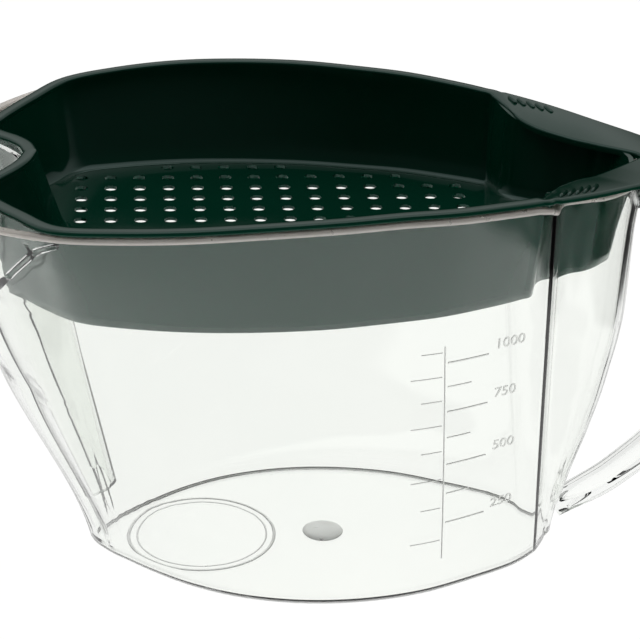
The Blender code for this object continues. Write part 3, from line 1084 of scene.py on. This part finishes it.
def add_bump(nodes, links, shader, scale, detail, distance, strength):
    noise, _ = noise_ramp(nodes, links, scale, detail, 0.0, 1.0)
    bump = nodes.new("ShaderNodeBump")
    bump.inputs["Strength"].default_value = strength
    bump.inputs["Distance"].default_value = distance
    links.new(noise.outputs["Fac"], bump.inputs["Height"])
    links.new(bump.outputs["Normal"], shader.inputs["Normal"])


def mix_colours(nodes, links, shader, scale, dark, light):
    _, span = noise_ramp(nodes, links, scale, COLOUR_DETAIL, 0.0, 1.0)
    mix = nodes.new("ShaderNodeMix")
    mix.data_type = "RGBA"
    mix.inputs["A"].default_value = dark
    mix.inputs["B"].default_value = light
    links.new(span.outputs["Result"], mix.inputs["Factor"])
    links.new(mix.outputs["Result"], shader.inputs["Base Color"])


def map_range(nodes, links, value, low, high, at_low, at_high):
    """A smooth step of a socket's value between two values."""
    span = nodes.new("ShaderNodeMapRange")
    span.interpolation_type = "SMOOTHSTEP"
    span.inputs["From Min"].default_value = low
    span.inputs["From Max"].default_value = high
    span.inputs["To Min"].default_value = at_low
    span.inputs["To Max"].default_value = at_high
    links.new(value, span.inputs["Value"])
    return span.outputs["Result"]


def arithmetic(nodes, links, operation, a, b):
    """A Math node. a is a socket, and b a socket or a number."""
    node = nodes.new("ShaderNodeMath")
    node.operation = operation
    links.new(a, node.inputs[0])
    if isinstance(b, float):
        node.inputs[1].default_value = b
    else:
        links.new(b, node.inputs[1])
    return node.outputs["Value"]


def clear_plastic():
    material, nodes, links, shader = new_material("clear_plastic")
    shader.inputs["Transmission Weight"].default_value = 1.0
    shader.inputs["IOR"].default_value = CLEAR_IOR
    mix_colours(nodes, links, shader, CLEAR_CLOUDS, CLEAR_DARK, CLEAR_LIGHT)
    paint_edge_shade(nodes, links, shader)
    vary_roughness(nodes, links, shader, CLEAR_ROUGHNESS)
    add_bump(nodes, links, shader, *CLEAR_BUMP)
    pass_shadows(nodes, links, shader)
    return material


def paint_edge_shade(nodes, links, shader):
    """Painted shade: a dark grey mixed into the colour where the plastic is seen edge on, standing in for the
    dark reflections at its edges.
    """
    weight = nodes.new("ShaderNodeLayerWeight")
    weight.inputs["Blend"].default_value = 0.5
    share = map_range(nodes, links, weight.outputs["Facing"], CLEAR_EDGE_SHADE_START, 1.0, 0.0, 1.0)
    mix = nodes.new("ShaderNodeMix")
    mix.data_type = "RGBA"
    links.new(share, mix.inputs["Factor"])
    links.new(shader.inputs["Base Color"].links[0].from_socket, mix.inputs["A"])
    mix.inputs["B"].default_value = CLEAR_PAINTED_EDGE_SHADE
    links.new(mix.outputs["Result"], shader.inputs["Base Color"])


def pass_shadows(nodes, links, shader):
    """Lets lamps light what is behind the clear wall."""
    path = nodes.new("ShaderNodeLightPath")
    see_through = nodes.new("ShaderNodeBsdfTransparent")
    see_through.inputs["Color"].default_value = CLEAR_SHADOW
    mix = nodes.new("ShaderNodeMixShader")
    links.new(path.outputs["Is Shadow Ray"], mix.inputs[0])
    links.new(shader.outputs["BSDF"], mix.inputs[1])
    links.new(see_through.outputs["BSDF"], mix.inputs[2])
    links.new(mix.outputs["Shader"], nodes["Material Output"].inputs["Surface"])


def frosted_plastic(name, dark, light, transmission):
    material, nodes, links, shader = new_material(name)
    shader.inputs["Transmission Weight"].default_value = transmission
    shader.inputs["IOR"].default_value = FROSTED_IOR
    mix_colours(nodes, links, shader, FROSTED_GRAIN, dark, light)
    vary_roughness(nodes, links, shader, FROSTED_ROUGHNESS)
    return material


def green_plastic():
    material, nodes, links, shader = new_material("green_plastic")
    shader.inputs["IOR"].default_value = GREEN_IOR
    shader.inputs["Specular Tint"].default_value = GREEN_SPECULAR
    mix_colours(nodes, links, shader, GREEN_CLOUDS, GREEN_DARK, GREEN_LIGHT)
    vary_roughness(nodes, links, shader, GREEN_ROUGHNESS)
    add_bump(nodes, links, shader, *GREEN_BUMP)
    return material


def floor_material():
    """A pale floor that glows evenly. Reflections see it fade at three sides, as at black cards."""
    material, nodes, links, shader = new_material("studio_floor")
    shader.inputs["Specular IOR Level"].default_value = 0.0
    mix_colours(nodes, links, shader, FLOOR_CLOUDS, FLOOR_DARK, FLOOR_LIGHT)
    shader.inputs["Roughness"].default_value = FLOOR_ROUGHNESS
    shader.inputs["Emission Color"].default_value = FLOOR_TINT
    coords = nodes.new("ShaderNodeTexCoord")
    split = nodes.new("ShaderNodeSeparateXYZ")
    links.new(coords.outputs["Object"], split.inputs["Vector"])
    front = map_range(nodes, links, split.outputs["Y"], *FLOOR_FRONT)
    right = map_range(nodes, links, split.outputs["X"], *FLOOR_RIGHT)
    left = map_range(nodes, links, split.outputs["X"], *FLOOR_LEFT)
    front_right = arithmetic(nodes, links, "MULTIPLY", front, right)
    cards = arithmetic(nodes, links, "MULTIPLY", front_right, left)
    path = nodes.new("ShaderNodeLightPath")
    mirrored_once = arithmetic(nodes, links, "MINIMUM", path.outputs["Glossy Depth"], 1.0)
    change = arithmetic(nodes, links, "SUBTRACT", cards, FLOOR_GLOW)
    share = arithmetic(nodes, links, "MULTIPLY", mirrored_once, change)
    total = arithmetic(nodes, links, "ADD", share, FLOOR_GLOW)
    links.new(total, shader.inputs["Emission Strength"])
    return material


# ---------------------------------------------------------------- studio
# Camera, fitted to the object's proportions
CAMERA_PLACE = (-60.9 * MM, -596.0 * MM, 339.7 * MM)
CAMERA_YAW = math.radians(5.5)
CAMERA_TILT = math.radians(-24.1)
CAMERA_ROLL = math.radians(1.55)
CAMERA_LENS = 124.8
CAMERA_SENSOR = 36.0
CAMERA_CLIP = (0.01, 50.0)
FLOOR_SEGMENTS = 8
FLOOR_HALF_SIZE = 6.0
FLOOR_LEVEL = -0.2 * MM
LAMP_PLACE = (0.0, 0.25, 1.3)
LAMP_TARGET = (0.0, 0.0, 0.05)
LAMP_SIZE = (1.4, 1.0)
LAMP_POWER = 3.0
# The world's light by the direction it is seen in: from and to, and the strength at each
WORLD_HIGH = (0.08, 0.45, 0.01, 0.62)
WORLD_FAR_SIDE = (-0.35, 0.25, 0.10, 1.0)
WORLD_BEHIND = (0.2, 0.8, 0.1, 1.0)
WORLD_COLOUR = (1.0, 1.0, 1.0, 1.0)


def camera_matrix():
    forward = Vector((math.sin(CAMERA_YAW) * math.cos(CAMERA_TILT),
                      math.cos(CAMERA_YAW) * math.cos(CAMERA_TILT),
                      math.sin(CAMERA_TILT)))
    right = forward.cross(Vector((0.0, 0.0, 1.0))).normalized()
    up = right.cross(forward)
    turned_right = right * math.cos(CAMERA_ROLL) + up * math.sin(CAMERA_ROLL)
    turned_up = up * math.cos(CAMERA_ROLL) - right * math.sin(CAMERA_ROLL)
    matrix = Matrix.Identity(4)
    for column, axis in enumerate((turned_right, turned_up, -forward)):
        for i in range(3):
            matrix[i][column] = axis[i]
    matrix.translation = Vector(CAMERA_PLACE) + Vector((SHIFT_X, 0.0, 0.0))
    return matrix


def add_camera():
    data = bpy.data.cameras.new("camera")
    data.lens = CAMERA_LENS
    data.sensor_width = CAMERA_SENSOR
    data.clip_start, data.clip_end = CAMERA_CLIP
    data.dof.use_dof = False
    camera = bpy.data.objects.new("camera", data)
    camera.matrix_world = camera_matrix()
    bpy.context.scene.collection.objects.link(camera)
    bpy.context.scene.camera = camera


def add_lamp():
    data = bpy.data.lights.new("overhead", "AREA")
    data.shape = "RECTANGLE"
    data.size, data.size_y = LAMP_SIZE
    data.energy = LAMP_POWER
    light = bpy.data.objects.new("overhead", data)
    light.location = LAMP_PLACE
    aim = Vector(LAMP_TARGET) - Vector(LAMP_PLACE)
    light.rotation_euler = aim.to_track_quat("-Z", "Y").to_euler()
    bpy.context.scene.collection.objects.link(light)


def add_world():
    """A pale studio, brighter overhead and at the back. Through the clear jug only its back is bright."""
    world = bpy.data.worlds.new("studio")
    world.use_nodes = True
    nodes = world.node_tree.nodes
    links = world.node_tree.links
    background = nodes["Background"]
    coords = nodes.new("ShaderNodeTexCoord")
    split = nodes.new("ShaderNodeSeparateXYZ")
    links.new(coords.outputs["Generated"], split.inputs["Vector"])
    high = map_range(nodes, links, split.outputs["Z"], *WORLD_HIGH)
    far_side = map_range(nodes, links, split.outputs["Y"], *WORLD_FAR_SIDE)
    above = arithmetic(nodes, links, "MULTIPLY", high, far_side)
    behind = map_range(nodes, links, split.outputs["Y"], *WORLD_BEHIND)
    path = nodes.new("ShaderNodeLightPath")
    change = arithmetic(nodes, links, "SUBTRACT", behind, above)
    share = arithmetic(nodes, links, "MULTIPLY", path.outputs["Is Transmission Ray"], change)
    links.new(arithmetic(nodes, links, "ADD", share, above), background.inputs["Strength"])
    background.inputs["Color"].default_value = WORLD_COLOUR
    bpy.context.scene.world = world


def add_floor(material):
    bm = bmesh.new()
    bmesh.ops.create_grid(bm, x_segments=FLOOR_SEGMENTS, y_segments=FLOOR_SEGMENTS, size=FLOOR_HALF_SIZE)
    mesh = bpy.data.meshes.new("floor")
    bm.to_mesh(mesh)
    bm.free()
    floor = bpy.data.objects.new("floor", mesh)
    floor.location.z = FLOOR_LEVEL
    floor.data.materials.append(material)
    bpy.context.scene.collection.objects.link(floor)


# ---------------------------------------------------------------- assembly
# Dark and light colour and transmission of each frosted plastic
SCALE_PLASTIC = ((0.985, 0.985, 0.975, 1.0), (1.0, 1.0, 0.99, 1.0), 0.9)
BASE_MARK_PLASTIC = ((0.96, 0.965, 0.96, 1.0), (0.99, 0.99, 0.98, 1.0), 0.85)
# Painted highlight: the rim bead's pale beige stands in for light caught along the rolled edge
PAINTED_RIM_HIGHLIGHT = ((0.92, 0.87, 0.81, 1.0), (0.96, 0.91, 0.86, 1.0), 0.5)
FOOT_PLASTIC = ((0.94, 0.95, 0.94, 1.0), (0.98, 0.98, 0.97, 1.0), 0.2)


def dress(obj, material, body):
    obj.data.materials.clear()
    obj.data.materials.append(material)
    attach(obj, body)


def build_jug():
    jug = clear_jug()
    dress(jug, clear_plastic(), "jug")
    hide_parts("jug_shell", "spout_baffle", "jug_handle")
    # The bead's pale beige is a painted highlight
    dress(jug_bead(), frosted_plastic("rim_painted_highlight", *PAINTED_RIM_HIGHLIGHT), "jug")
    dress(jug_foot(), frosted_plastic("foot_plastic", *FOOT_PLASTIC), "jug")


def build_strainer():
    green = green_plastic()
    bowl = strainer_bowl()
    dress(bowl, green, "strainer")
    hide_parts("strainer_wall")
    sieve = strainer_sieve()
    dress(sieve, green, "strainer")
    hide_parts("strainer_floor")
    lip = strainer_lip()
    dress(lip, green, "strainer")
    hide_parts("strainer_rim")


def build_marks():
    mark = frosted_plastic("scale_plastic", *SCALE_PLASTIC)
    dress(scale_marks(), mark, "jug")
    dress(scale_numbers(), mark, "jug")
    dress(base_marks(), frosted_plastic("base_mark_plastic", *BASE_MARK_PLASTIC), "jug")


def main():
    build_jug()
    build_strainer()
    build_marks()
    add_floor(floor_material())
    add_world()
    add_lamp()
    add_camera()
    bpy.context.scene.view_settings.view_transform = "Standard"


main()
